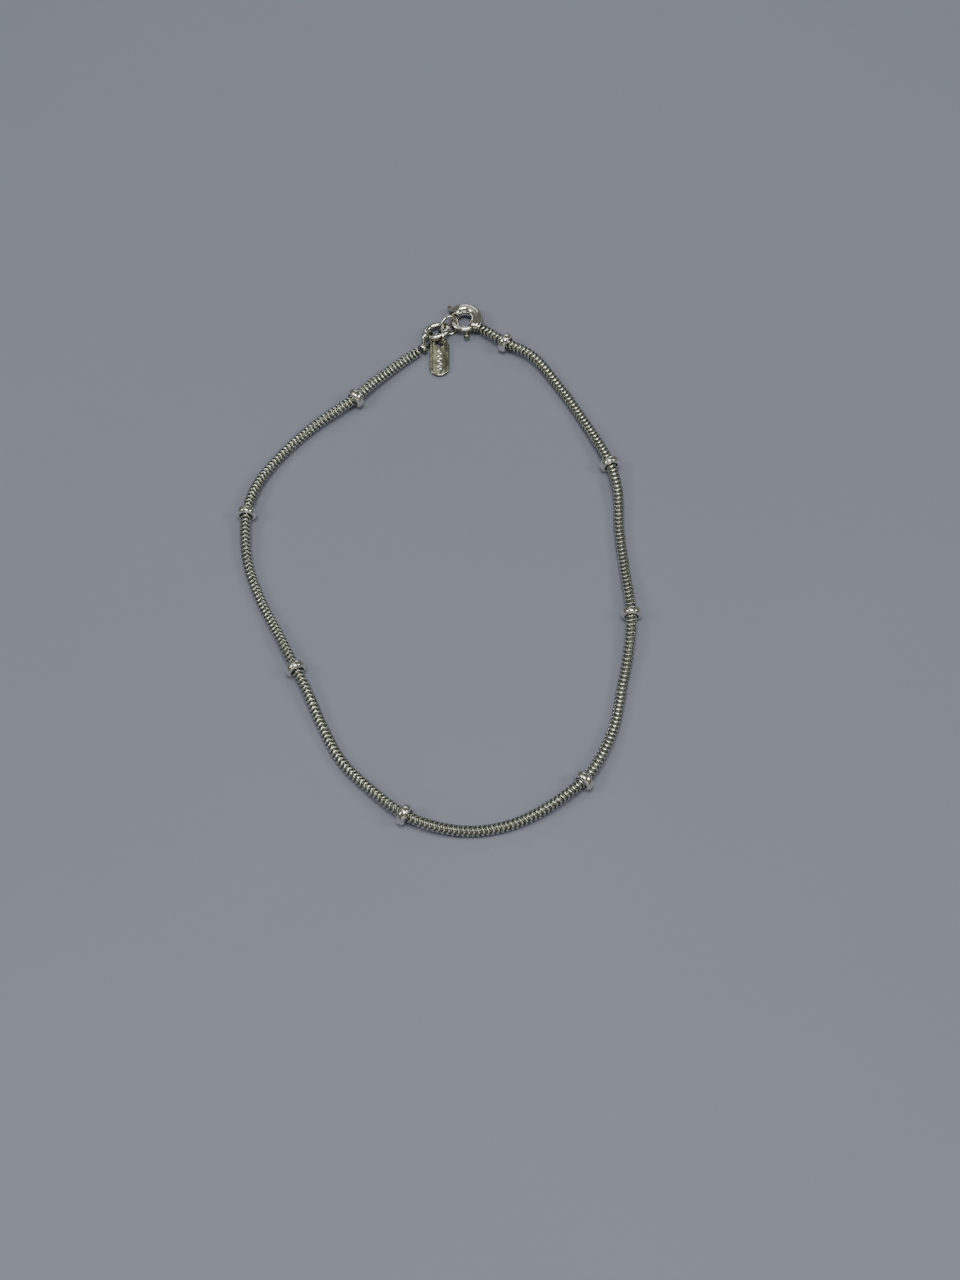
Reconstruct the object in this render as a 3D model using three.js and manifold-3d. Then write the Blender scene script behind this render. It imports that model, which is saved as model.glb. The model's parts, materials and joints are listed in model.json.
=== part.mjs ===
// A snake-chain bracelet with eight bead rings, lying closed on a table.
// Millimetres, +Z up. The table is the plane z = 0, and the loop is longest along Y.

import * as THREE from 'three';
import { mergeVertices } from 'three/addons/utils/BufferGeometryUtils.js';
import ManifoldModule from 'manifold-3d';

const wasm = await ManifoldModule();
wasm.setup();

// ---- Driving dimensions ----

// Chain
const CHAIN_DIAMETER = 1.5;
const CHAIN_SIDES = 8;
const CHAIN_STEPS = 64;
const END_GAP = 0.12; // between the chain's end face and the metal it is soldered to

// Beads, which lift the chain off the table
const BEAD_DIAMETER = 2.75;
const BEAD_WIDTH = 1.1;
const BEAD_BORE = 1.92;
const BEAD_SIDES = 24;
const RISE_RUN = 11; // how far from a bead the chain lies flat again

// Spring-ring clasp: a hollow tube ring with a sliding bolt across its mouth
const CLASP_RING_RADIUS = 1.75; // to the tube's centre line
const CLASP_TUBE_RADIUS = 0.86;
const CLASP_SIDES = 14;
const TUBE_START = -60; // bearings in degrees, round the clasp's own axis
const MOUTH = 150;
const NECK_RADIUS = 0.42; // the slim end of the ring, which the bolt's tip meets
const NECK_END = -103;
const BORE_RADIUS = 0.5;
const BORE_END = 44;
const SLOT_WIDTH = 0.52;
const SLOT_END = 68;
const BOLT_RADIUS = 0.38;
const BOLT_TAIL = 105;
const BOLT_TIP = 254.5;
const TAB_BEARING = 134;
const TAB_ROOT = 1.8; // distances from the clasp's centre
const TAB_REACH = 3.25;
const TAB_ROOT_WIDTH = 0.5;
const TAB_TIP_WIDTH = 0.76;
const TAB_THICKNESS = 0.36;
const COLLAR_BEARING = -33;
const COLLAR_REACH = 2.75;
const COLLAR_DIP = 4; // how far the collar turns down to meet the chain squarely
const BALL_BEARING = -83;
const BALL_REACH = 2.73; // along the post, which slopes down
const POST_SLOPE = 28;
const BALL_RADIUS = 0.45;
const POST_RADIUS = 0.2;

// Rings
const RING_SIDES = 8;
const RING_STEPS = 26; // 4k + 2, so that a stretched ring has no corner on its straight sides
const OVAL_LENGTH = 3.25; // to the wire's centre line, as are the widths and radii here
const OVAL_WIDTH = 2.35;
const OVAL_WIRE = 0.4;
const LINK_RADIUS = 1.22;
const LINK_WIRE = 0.22;
const TAG_RING_RADIUS = 1;
const TAG_RING_WIRE = 0.2;
const CAP_LOOP_RADIUS = 0.98;
const CAP_LOOP_WIRE = 0.24;

// End cap and tag
const CAP_LENGTH = 0.72;
const CAP_SIDES = 16;
const TAG_LENGTH = 6;
const TAG_WIDTH = 2.7;
const TAG_THICKNESS = 0.44;
const TAG_HOLE_RADIUS = 0.55;
const TAG_HOLE_INSET = 0.97; // from the tag's top edge to the hole's centre
const TAG_RIM = 0.3;
const TAG_RECESS = 0.1;

// Where the pieces at the clasp lie: a centre, then turns about X, Y and Z in degrees
const CLASP_PLACE = { centre: [3.52, 37.38, 1.14], leanAxis: 75, lean: -3 };
const OVAL_PLACE = { centre: [-0.38, 35.33, 1.175], turns: [-10.6, -8.3, 17.4] };
const LINK_PLACE = { centre: [1.49, 36.36, 1.19], turns: [46, 26.8, 19.5] };
const TAG_RING_PLACE = { centre: [0.29, 34.35, 1.19], turns: [35.1, -72.6, -84.2] };
const TAG_PLACE = { centre: [0.07, 33.44, 0.66], turns: [4.8, -2.3, -89.8] };
const CAP_LOOP_PLACE = { centre: [-1.57, 33.98, 1.18], turns: [53.9, 52.5, 45.6] };

// The chain's centre line seen from above, from the clasp clockwise round to the end cap.
// bead is the number of the bead ring at that point, or 0 where there is none.
const ROUTE = [
  { x: 5.94, y: 35.79, bead: 0 },
  { x: 9.25, y: 33.33, bead: 8 },
  { x: 13.05, y: 31.08, bead: 0 },
  { x: 16.65, y: 26.18, bead: 0 },
  { x: 19.75, y: 20.78, bead: 0 },
  { x: 23.15, y: 13.48, bead: 7 },
  { x: 24.05, y: 9.48, bead: 0 },
  { x: 24.15, y: 3.38, bead: 0 },
  { x: 24.65, y: -2.62, bead: 0 },
  { x: 25.25, y: -9.22, bead: 6 },
  { x: 24.8, y: -14.22, bead: 0 },
  { x: 23.7, y: -19.82, bead: 0 },
  { x: 22.5, y: -25.22, bead: 0 },
  { x: 20.25, y: -30.22, bead: 0 },
  { x: 18.55, y: -32.52, bead: 5 },
  { x: 14.65, y: -35.62, bead: 0 },
  { x: 10.25, y: -37.92, bead: 0 },
  { x: 5.45, y: -39.02, bead: 0 },
  { x: 0.65, y: -38.67, bead: 0 },
  { x: -3.55, y: -37.07, bead: 4 },
  { x: -7.95, y: -33.52, bead: 0 },
  { x: -11.55, y: -29.72, bead: 0 },
  { x: -14.15, y: -24.92, bead: 0 },
  { x: -16.35, y: -19.92, bead: 0 },
  { x: -17.75, y: -17.12, bead: 3 },
  { x: -20.15, y: -12.22, bead: 0 },
  { x: -22.75, y: -7.02, bead: 0 },
  { x: -24.75, y: -1.42, bead: 0 },
  { x: -25.25, y: 5.78, bead: 2 },
  { x: -24.05, y: 10.48, bead: 0 },
  { x: -20.95, y: 15.38, bead: 0 },
  { x: -17.05, y: 19.58, bead: 0 },
  { x: -11.35, y: 24.08, bead: 1 },
  { x: -8.45, y: 27.18, bead: 0 },
  { x: -4.65, y: 30.78, bead: 0 },
  { x: -2.6, y: 32.45, bead: 0 },
];

// ---- Worked-out sizes ----

const CHAIN_RADIUS = CHAIN_DIAMETER / 2; // the octagon's flats; its corners stand out further
const BEAD_RADIUS = BEAD_DIAMETER / 2;
const WELD_DISTANCE = 1e-4;
const UP = new THREE.Vector3(0, 0, 1);
const degrees = THREE.MathUtils.degToRad;

// ---- Materials ----

function silver(color, roughness) {
  return new THREE.MeshStandardMaterial({ color, roughness, metalness: 1 });
}

const chainSilver = silver(0xc9c6ba, 0.3);
const polishedSilver = silver(0xd8d5cb, 0.14);
const boltSilver = silver(0xcfccc2, 0.2);

// ---- Paths ----

// A path whose cross-sections stay upright: a section's x is level and its y points up.
class UprightPath extends THREE.Curve {
  computeFrenetFrames(segments) {
    const frames = { tangents: [], normals: [], binormals: [] };
    for (let i = 0; i <= segments; i++) {
      const tangent = this.getTangentAt(i / segments);
      const side = UP.clone().cross(tangent).normalize();
      frames.tangents.push(tangent);
      frames.normals.push(side);
      frames.binormals.push(tangent.clone().cross(side));
    }
    return frames;
  }
}

// Part of a circle in the XY plane, between two bearings.
class LevelArc extends UprightPath {
  constructor(radius, from, to) {
    super();
    this.radius = radius;
    this.from = degrees(from);
    this.to = degrees(to);
  }

  getPoint(t, target = new THREE.Vector3()) {
    const bearing = THREE.MathUtils.lerp(this.from, this.to, t);
    return target.set(Math.cos(bearing) * this.radius, Math.sin(bearing) * this.radius, 0);
  }
}

// The chain's centre line: flat on the table, and rising smoothly to each bead's axis.
class ChainRoute extends UprightPath {
  constructor(stations) {
    super();
    this.arcLengthDivisions = 12 * stations.length;
    this.plan = new THREE.CatmullRomCurve3(stations.map(({ x, y }) => new THREE.Vector3(x, y, 0)));
    this.beads = stations.filter(({ bead }) => bead > 0);
  }

  getPoint(t, target = new THREE.Vector3()) {
    this.plan.getPoint(t, target);
    const distances = this.beads.map(({ x, y }) => Math.hypot(target.x - x, target.y - y));
    const run = Math.min(Math.min(...distances) / RISE_RUN, 1);
    const lift = (1 + Math.cos(Math.PI * run)) / 2;
    target.z = THREE.MathUtils.lerp(CHAIN_RADIUS, BEAD_RADIUS, lift);
    return target;
  }
}

// ---- Shape helpers ----

// A regular polygon with a flat side at the bottom, its flats `radius` from the centre.
function flatPolygon(radius, sides) {
  const corner = radius / Math.cos(Math.PI / sides);
  const shape = new THREE.Shape();
  for (let i = 0; i < sides; i++) {
    const angle = ((i + 0.5) * 2 * Math.PI) / sides - Math.PI / 2;
    const move = i === 0 ? 'moveTo' : 'lineTo';
    shape[move](Math.cos(angle) * corner, Math.sin(angle) * corner);
  }
  shape.closePath();
  return shape;
}

function sweep(shape, path, steps) {
  return new THREE.ExtrudeGeometry(shape, { extrudePath: path, steps });
}

function arcTube(radius, from, to, stepAngle = 8) {
  const path = new LevelArc(CLASP_RING_RADIUS, from, to);
  return sweep(flatPolygon(radius, CLASP_SIDES), path, Math.ceil((to - from) / stepAngle));
}

// A flat plate of the shape, centred on the XY plane.
function plate(shape, thickness) {
  const options = { depth: thickness, bevelEnabled: false, curveSegments: 10 };
  return new THREE.ExtrudeGeometry(shape, options).translate(0, 0, -thickness / 2);
}

// A rectangle with half-round ends, long along X.
function stadium(length, width) {
  const bow = width / 2;
  const straight = length / 2 - bow;
  const shape = new THREE.Shape();
  shape.absarc(straight, 0, bow, -Math.PI / 2, Math.PI / 2);
  shape.absarc(-straight, 0, bow, Math.PI / 2, (3 * Math.PI) / 2);
  return shape;
}

// A cylinder along +X from `from` to `to`.
function rod(radius, from, to, sides = CAP_SIDES) {
  const geometry = new THREE.CylinderGeometry(radius, radius, to - from, sides);
  return geometry.rotateZ(-Math.PI / 2).translate((from + to) / 2, 0, 0);
}

function wireRing(radius, wire) {
  return new THREE.TorusGeometry(radius, wire, RING_SIDES, RING_STEPS);
}

// A wire ring pulled out along X to a straight-sided oval.
function ovalWireRing(length, width, wire) {
  const geometry = wireRing(width / 2, wire);
  const position = geometry.getAttribute('position');
  const pull = (length - width) / 2;
  for (let i = 0; i < position.count; i++) {
    position.setX(i, position.getX(i) + Math.sign(position.getX(i)) * pull);
  }
  return geometry;
}

// ---- Joining and cutting ----

// A closed solid from a geometry, with seams and poles welded.
function solidOf(geometry) {
  const surface = new THREE.BufferGeometry();
  surface.setAttribute('position', geometry.getAttribute('position'));
  if (geometry.index) surface.setIndex(geometry.index);
  const welded = mergeVertices(surface, WELD_DISTANCE);
  const index = welded.index.array;
  const corners = [];
  for (let i = 0; i < index.length; i += 3) {
    const [a, b, c] = index.slice(i, i + 3);
    if (a !== b && b !== c && c !== a) corners.push(a, b, c);
  }
  const mesh = new wasm.Mesh({
    numProp: 3,
    vertProperties: new Float32Array(welded.getAttribute('position').array),
    triVerts: new Uint32Array(corners),
  });
  return new wasm.Manifold(mesh);
}

function geometryOf(solid) {
  const mesh = solid.getMesh();
  const geometry = new THREE.BufferGeometry();
  geometry.setAttribute('position', new THREE.BufferAttribute(mesh.vertProperties, mesh.numProp));
  geometry.setIndex(new THREE.BufferAttribute(mesh.triVerts, 1));
  geometry.computeVertexNormals();
  return geometry;
}

function joined(...geometries) {
  return geometries.map(solidOf).reduce((whole, piece) => whole.add(piece));
}

function cut(solid, ...tools) {
  return tools.map(solidOf).reduce((rest, tool) => rest.subtract(tool), solid);
}

// ---- Placing ----

function named(name, geometry, material) {
  const mesh = new THREE.Mesh(geometry, material);
  mesh.name = name;
  return mesh;
}

function place(object, { centre, turns }) {
  object.position.set(...centre);
  object.rotation.set(...turns.map(degrees));
  return object;
}

// ---- Pieces ----

function snakeChain(route) {
  const section = flatPolygon(CHAIN_RADIUS, CHAIN_SIDES);
  return named('snake_chain', sweep(section, route, CHAIN_STEPS), chainSilver);
}

// A short ring with a straight bore, plain side faces and a rounded rim.
function beadRing() {
  const bore = BEAD_BORE / 2;
  const crown = (BEAD_RADIUS - bore) * 0.72;
  const half = BEAD_WIDTH / 2;
  const profile = [new THREE.Vector2(bore, -half)];
  const rimPoints = 6;
  for (let i = 0; i <= rimPoints; i++) {
    const angle = Math.PI * (i / rimPoints - 0.5);
    const radius = BEAD_RADIUS - crown + crown * Math.cos(angle);
    profile.push(new THREE.Vector2(radius, half * Math.sin(angle)));
  }
  profile.push(new THREE.Vector2(bore, half), new THREE.Vector2(bore, -half));
  return new THREE.LatheGeometry(profile, BEAD_SIDES);
}

function beads(route) {
  const group = new THREE.Group();
  const geometry = beadRing();
  ROUTE.forEach(({ x, y, bead }, station) => {
    if (bead === 0) return;
    const heading = route.getTangent(station / (ROUTE.length - 1));
    const mesh = named(`bead_${bead}`, geometry, polishedSilver);
    mesh.position.set(x, y, BEAD_RADIUS);
    mesh.rotation.z = Math.atan2(heading.y, heading.x) - Math.PI / 2;
    group.add(mesh);
  });
  return group;
}

// The slot in the tube's outer wall, along which the thumb tab slides.
function slotSector() {
  const outside = CLASP_RING_RADIUS + 2 * CLASP_TUBE_RADIUS;
  const from = degrees(SLOT_END);
  const to = degrees(MOUTH + 5);
  const shape = new THREE.Shape();
  shape.absarc(0, 0, outside, from, to);
  shape.absarc(0, 0, CLASP_RING_RADIUS, to, from, true);
  return plate(shape, SLOT_WIDTH);
}

function claspRing() {
  const tube = arcTube(CLASP_TUBE_RADIUS, TUBE_START, MOUTH);
  const neck = arcTube(NECK_RADIUS, NECK_END, TUBE_START + 5);
  const collar = rod(CHAIN_RADIUS, 0, COLLAR_REACH - CLASP_RING_RADIUS);
  collar.rotateY(degrees(COLLAR_DIP)).translate(CLASP_RING_RADIUS, 0, 0);
  collar.rotateZ(degrees(COLLAR_BEARING));
  const reach = BALL_REACH - CLASP_RING_RADIUS;
  const post = rod(POST_RADIUS, NECK_RADIUS / 2, reach, CLASP_SIDES);
  const ball = new THREE.SphereGeometry(BALL_RADIUS, 14, 10).translate(reach, 0, 0);
  for (const piece of [post, ball]) {
    piece.rotateY(degrees(POST_SLOPE)).translate(CLASP_RING_RADIUS, 0, 0);
    piece.rotateZ(degrees(BALL_BEARING));
  }
  const body = joined(tube, neck, collar, post, ball);
  const bore = arcTube(BORE_RADIUS, BORE_END, MOUTH + 5);
  return named('clasp_ring', geometryOf(cut(body, bore, slotSector())), polishedSilver);
}

function claspBolt() {
  const pin = arcTube(BOLT_RADIUS, BOLT_TAIL, BOLT_TIP);
  const outline = new THREE.Shape();
  outline.moveTo(TAB_ROOT, -TAB_ROOT_WIDTH / 2);
  outline.lineTo(TAB_REACH - TAB_TIP_WIDTH / 2, -TAB_TIP_WIDTH / 2);
  outline.absarc(TAB_REACH - TAB_TIP_WIDTH / 2, 0, TAB_TIP_WIDTH / 2, -Math.PI / 2, Math.PI / 2);
  outline.lineTo(TAB_ROOT, TAB_ROOT_WIDTH / 2);
  outline.closePath();
  const tab = plate(outline, TAB_THICKNESS).rotateZ(degrees(TAB_BEARING));
  return named('clasp_bolt', geometryOf(joined(pin, tab)), boltSilver);
}

// The clasp lies in its own leaning plane, with its axis along the group's Z.
function clasp() {
  const group = new THREE.Group();
  const leanAxis = degrees(CLASP_PLACE.leanAxis);
  const axis = new THREE.Vector3(Math.cos(leanAxis), Math.sin(leanAxis), 0);
  group.position.set(...CLASP_PLACE.centre);
  group.quaternion.setFromAxisAngle(axis, degrees(CLASP_PLACE.lean));
  group.add(claspRing(), claspBolt());
  return group;
}

// A cup on the chain's free end, with a wire loop soldered to it.
function endCap(route) {
  const end = route.getPoint(1);
  const heading = route.getTangent(1);
  const cup = rod(CHAIN_RADIUS, END_GAP, END_GAP + CAP_LENGTH);
  cup.rotateZ(Math.atan2(heading.y, heading.x)).translate(end.x, end.y, end.z);
  const loop = place(new THREE.Object3D(), CAP_LOOP_PLACE);
  loop.updateMatrix();
  const wire = wireRing(CAP_LOOP_RADIUS, CAP_LOOP_WIRE).applyMatrix4(loop.matrix);
  return named('end_cap', geometryOf(joined(cup, wire)), polishedSilver);
}

function rings() {
  const oval = ovalWireRing(OVAL_LENGTH, OVAL_WIDTH, OVAL_WIRE);
  const link = wireRing(LINK_RADIUS, LINK_WIRE);
  const tagRing = wireRing(TAG_RING_RADIUS, TAG_RING_WIRE);
  return [
    place(named('oval_ring', oval, polishedSilver), OVAL_PLACE),
    place(named('link_ring', link, polishedSilver), LINK_PLACE),
    place(named('tag_ring', tagRing, polishedSilver), TAG_RING_PLACE),
  ];
}

// A long rounded plate that hangs by a hole near its top, with a raised rim round its face.
function tag() {
  const middle = TAG_LENGTH / 2 - TAG_HOLE_INSET;
  const blank = plate(stadium(TAG_LENGTH, TAG_WIDTH), TAG_THICKNESS).translate(middle, 0, 0);
  const field = stadium(TAG_LENGTH - 2 * TAG_RIM, TAG_WIDTH - 2 * TAG_RIM);
  const recess = plate(field, TAG_THICKNESS).translate(middle, 0, TAG_THICKNESS - TAG_RECESS);
  const hole = new THREE.CylinderGeometry(TAG_HOLE_RADIUS, TAG_HOLE_RADIUS, 2 * TAG_THICKNESS, 20);
  hole.rotateX(Math.PI / 2);
  const body = cut(solidOf(blank), recess, hole);
  return place(named('tag', geometryOf(body), polishedSilver), TAG_PLACE);
}

// ---- The bracelet ----

const route = new ChainRoute(ROUTE);
const bracelet = new THREE.Group();
bracelet.add(snakeChain(route), beads(route), endCap(route), clasp(), ...rings(), tag());

export default bracelet;
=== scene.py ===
"""Dresses the snake-chain bracelet: links, bead rings, clasp, rings and tag in handled silver."""

import json
import math

import bmesh
import bpy
from mathutils import Matrix, Vector


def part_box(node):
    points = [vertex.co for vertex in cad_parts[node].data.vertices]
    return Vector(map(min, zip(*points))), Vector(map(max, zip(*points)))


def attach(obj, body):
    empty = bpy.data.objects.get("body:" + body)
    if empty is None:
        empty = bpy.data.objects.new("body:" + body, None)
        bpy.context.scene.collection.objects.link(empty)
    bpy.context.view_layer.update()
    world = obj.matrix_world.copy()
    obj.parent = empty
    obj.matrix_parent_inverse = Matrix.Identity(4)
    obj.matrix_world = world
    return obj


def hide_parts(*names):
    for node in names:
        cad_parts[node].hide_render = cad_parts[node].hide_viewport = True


MM = 0.001
MERGE = 1e-7
NEAR = 0.01 * MM  # how close two measures are that count as the same
UP = Vector((0, 0, 1))

# Chain
CHAIN_RADIUS = 0.75 * MM
LINK_PITCH = 0.6 * MM
LINK_STEPS = 16
LINK_LOBES = 4  # waves round a link, with a scale at each crest and each trough
LINK_WAVE = 0.14 * MM  # how far each wave reaches along the chain
LINK_HALF_WIDTH = 0.245 * MM
LINK_EDGE_DEPTH = 0.125 * MM
# Painted shade on each link's edges and inside, where shade falls between the links.
LINK_EDGE_SHADE = 0.8
LINK_INSIDE_DEPTH = 0.26 * MM
SCALE_VALLEY_DEPTH = 0.045 * MM
# Painted shade in the valleys between a link's scales.
SCALE_VALLEY_SHADE = 0.85
# How far the chain is turned about its own axis, as (link number, degrees) pairs.
TWIST = [
    (0, 9), (45, 8), (85, 19.5), (120, -6.5), (155, 8.5),
    (190, -12), (225, 17.5), (260, 8), (295, -11.5),
]
CORE_RADIUS = 0.54 * MM
CORE_SIDES = 8
CORE_STRIDE = 3  # links from one section of the core to the next

# The chain's centre line from above, in metres, from the clasp clockwise round to the end cap.
# The third value is the number of the bead ring at that point, or 0 where there is none.
ROUTE = [
    (0.00594, 0.03579, 0),
    (0.00925, 0.03333, 8),
    (0.01305, 0.03108, 0),
    (0.01665, 0.02618, 0),
    (0.01975, 0.02078, 0),
    (0.02315, 0.01348, 7),
    (0.02405, 0.00948, 0),
    (0.02415, 0.00338, 0),
    (0.02465, -0.00262, 0),
    (0.02525, -0.00922, 6),
    (0.02480, -0.01422, 0),
    (0.02370, -0.01982, 0),
    (0.02250, -0.02522, 0),
    (0.02025, -0.03022, 0),
    (0.01855, -0.03252, 5),
    (0.01465, -0.03562, 0),
    (0.01025, -0.03792, 0),
    (0.00545, -0.03902, 0),
    (0.00065, -0.03867, 0),
    (-0.00355, -0.03707, 4),
    (-0.00795, -0.03352, 0),
    (-0.01155, -0.02972, 0),
    (-0.01415, -0.02492, 0),
    (-0.01635, -0.01992, 0),
    (-0.01775, -0.01712, 3),
    (-0.02015, -0.01222, 0),
    (-0.02275, -0.00702, 0),
    (-0.02475, -0.00142, 0),
    (-0.02525, 0.00578, 2),
    (-0.02405, 0.01048, 0),
    (-0.02095, 0.01538, 0),
    (-0.01705, 0.01958, 0),
    (-0.01135, 0.02408, 1),
    (-0.00845, 0.02718, 0),
    (-0.00465, 0.03078, 0),
    (-0.00260, 0.03245, 0),
]
RISE_RUN = 11 * MM  # the length of chain that rises from the table to a bead ring
ROUTE_SAMPLES = 24  # points of the centre line from each point of the route to the next

# Bead rings
BEAD_RADIUS = 1.375 * MM
BEAD_BORE_RADIUS = 0.86 * MM
BEAD_WIDTH = 1.1 * MM
BEAD_EDGE = 0.4 * MM
BEAD_BORE_EDGE = 0.09 * MM
BEAD_BORE_SHADE = 0.02 * MM  # how far out from the bore its painted shade reaches

# Clasp, with its angles in degrees and its bearings counted round the ring's middle
RING_RADIUS = 1.75 * MM  # from the ring's middle to the middle of its tube
TUBE_RADIUS = 0.86 * MM
TUBE_WALL = 0.4 * MM
TUBE_START = -60  # the bearing of the tube's closed end
SHOULDER = 16  # the span over which the tube narrows to its neck
MOUTH = 150  # the bearing of the tube's open end
SLOT_END = 68  # the bearing that the slot reaches from the mouth
SLOT_WIDTH = 0.52 * MM
LIP_WIRE = 0.19 * MM
LIP_SETBACK = 4  # from the mouth back to the middle of its rolled rim
SHADE_EASED_DEPTH = 0.2 * TUBE_RADIUS  # from the tube's middle in to where its painted shade is eased
NECK_RADIUS = 0.42 * MM
NECK_END = -103
BOLT_RADIUS = 0.38 * MM
BOLT_TAIL = 105
BOLT_TIP = 254.5
TAB_BEARING = 134
TAB_ROOT = 1.8 * MM
TAB_REACH = 3.25 * MM
TAB_WIDTH = 0.76 * MM
TAB_ROOT_WIDTH = 0.5 * MM
TAB_THICKNESS = 0.36 * MM
TAB_TIP_ROUNDING = 0.92  # the share of the tab's half width that rounds its tip
TAB_EDGE = 0.06 * MM
TAB_RIM_ANGLE = 70  # the least fold of an edge that is softened
COLLAR_BEARING = -33
COLLAR_REACH = 2.75 * MM
COLLAR_DIP = 4
COLLAR_LIP = 0.12 * MM
COLLAR_WAIST_DEPTH = 0.07 * MM
BALL_BEARING = -83
BALL_REACH = 2.73 * MM
BALL_RADIUS = 0.45 * MM
POST_SLOPE = 28
POST_RADIUS = 0.2 * MM
POST_FOOT_RADIUS = 0.3 * MM
POST_FOOT_HEIGHT = 0.4 * MM

# Rings, each with its turns about X, Y and Z in degrees
OVAL_BOW = 1.175 * MM  # the radius of the round ring that it is pulled from
OVAL_PULL = 0.45 * MM  # how far each end is pulled out
OVAL_WIRE = 0.4 * MM
OVAL_SQUARENESS = 0.7  # 0 gives straight sides and 1 an ellipse
OVAL_TURNS = (-10.6, -8.3, 17.4)
LINK_RING_RADIUS = 1.22 * MM
LINK_RING_WIRE = 0.22 * MM
LINK_RING_TURNS = (46, 26.8, 19.5)
LINK_RING_SEAM = 200  # the seam's bearing in the ring's own frame
TAG_RING_RADIUS = 1 * MM
TAG_RING_WIRE = 0.2 * MM
TAG_RING_TURNS = (35.1, -72.6, -84.2)
TAG_RING_SEAM = 70
CAP_LOOP_RADIUS = 0.98 * MM
CAP_LOOP_WIRE = 0.24 * MM
CAP_LOOP_CENTRE = Vector((-1.57, 33.98, 1.18)) * MM
CAP_LOOP_TURNS = (53.9, 52.5, 45.6)
RING_SEAM = 0.03 * MM  # the gap between a ring's two ends

# End cap
END_GAP = 0.12 * MM  # from the end of the chain's centre line to the cap
CAP_LENGTH = 0.72 * MM
CAP_LIP = 0.1 * MM
# The cap above its lip, as shares of the chain's radius and of the cap's length.
CAP_PROFILE = [(1, 0.55), (0.88, 0.85), (0.6, 1), (0, 1)]

# Tag
TAG_LENGTH = 6 * MM
TAG_WIDTH = 2.7 * MM
TAG_THICKNESS = 0.44 * MM
TAG_HOLE_RADIUS = 0.55 * MM
TAG_HOLE_INSET = 0.97 * MM  # from the tag's top end to the middle of its hole
TAG_RIM = 0.3 * MM
TAG_RECESS = 0.1 * MM
TAG_RECESS_SLOPE = 0.08 * MM
TAG_EDGE = 0.14 * MM
# The rounding of the outer edge below and above, as (side, bearings in degrees) pairs.
TAG_EDGE_ARCS = [(-1, (-90, -60, -30, 0)), (1, (0, 22, 45, 68, 90))]
TAG_DOME = 0.08 * MM
TAG_SHADE_BAND = 0.9  # the share of the field's half width past which the field has painted shade
TAG_HOLE_CENTRE = Vector((0.07, 33.44, 0.66)) * MM
TAG_TURNS = (4.8, -2.3, -89.8)
GRAIN_COUNT = 8
GRAIN_START = 1.05 * MM  # from the middle of the hole to the first grain
GRAIN_PITCH = 0.4 * MM
GRAIN_SIZE = (0.72 * MM, 0.5 * MM, 0.24 * MM)
GRAIN_SLANT = 36  # degrees
GRAIN_SWAY = 0.13 * MM  # how far the grains lie to either side of the middle

# Finish
SHADE_ATTRIBUTE = "painted_shade"  # the mesh attribute that is 1 where shade is painted in full and 0 on open metal
ACROSS = "across"  # the mesh attribute that is 0 in the middle of a link's scale and 1 at its edges
CLOUD_SCALE = 700
CLOUD_SPREAD = (0.4, 0.72)  # the noise at which a cloud of tarnish begins and is full
SHADE_SPREAD = (0.1, 0.85)  # the painted shade at which its darkening begins and is full
HAIRLINE_SCALE = 4200
HAIRLINE_STRETCH = (1, 7, 3)
HAIRLINE_TURNS = (0.4, 0.2, 0.7)  # radians
HAIRLINE_DEPTH = 0.01 * MM  # the height of one unit of the finish's relief
FACET_FLATNESS = 1.4  # how far a facet cancels the roundness of its scale
FACET_ROLL = 6  # the power that keeps the rolled edges narrow
UNSHADED_TILT = 0.75  # the least upward tilt of a surface that gets no painted shade
SHADE_BLEND = 0.5  # the change of tilt over which the painted shade comes in full
INSIDE_SHADE_SHARE = 0.3  # the share of its painted shade that the inside of the clasp's ring keeps

# Table
TABLE_HALF_SIDE = 3  # metres
TABLE_DEEP = (0.228, 0.246, 0.326)
TABLE_PALE = (0.252, 0.27, 0.35)
TABLE_CLOUD_SCALE = 14
TABLE_ROUGHNESS = 0.55

# Camera, with its lens and sensor in millimetres and its elevation in degrees
LENS = 54.84
SENSOR = 36
CAMERA_ELEVATION = 63
CAMERA_DISTANCE = 0.2514
CAMERA_TARGET = Vector((0.0057, -0.0124, 0))

# Light: each softbox has its place, width, height, power in watts and colour
ROOM_COLOR = (0.56, 0.6, 0.5)
ROOM_STRENGTH = 0.22
SOFTBOXES = [
    ("overhead_panel", (0, -0.08, 0.9), 0.38, 0.38, 3.9, (1, 0.98, 0.95)),
    ("left_panel", (-0.62, -0.08, 0.62), 0.24, 0.24, 1.4, (0.96, 1, 0.92)),
    ("right_panel", (0.62, -0.08, 0.62), 0.24, 0.24, 1.4, (0.96, 1, 0.92)),
    ("pale_wall", (-0.34, 0.3, 0.85), 0.6, 0.5, 0.35, (1, 0.96, 0.78)),
    ("back_window", (0.1, 0.9, 0.6), 0.5, 0.16, 0.7, (0.86, 0.92, 1)),
    ("front_warm_wall", (0.1, -0.9, 0.4), 1.1, 0.5, 0.9, (1, 0.88, 0.76)),
]


# ---- Chain route ----


def station(points, t):
    """The point at t, from 0 to 1, on the centripetal curve through the points."""
    place = t * (len(points) - 1)
    first = min(int(place), len(points) - 2)
    share = place - first
    p1, p2 = points[first], points[first + 1]
    p0 = points[first - 1] if first > 0 else 2 * p1 - p2
    p3 = points[first + 2] if first + 2 < len(points) else 2 * p2 - p1
    gap0, gap1, gap2 = ((b - a).length ** 0.5 for a, b in ((p0, p1), (p1, p2), (p2, p3)))
    leave = ((p1 - p0) / gap0 - (p2 - p0) / (gap0 + gap1)) * gap1 + (p2 - p1)
    reach = ((p3 - p2) / gap2 - (p3 - p1) / (gap1 + gap2)) * gap1 + (p2 - p1)
    cubic = 2 * p1 - 2 * p2 + leave + reach
    square = 3 * (p2 - p1) - 2 * leave - reach
    return p1 + share * (leave + share * (square + share * cubic))


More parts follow.
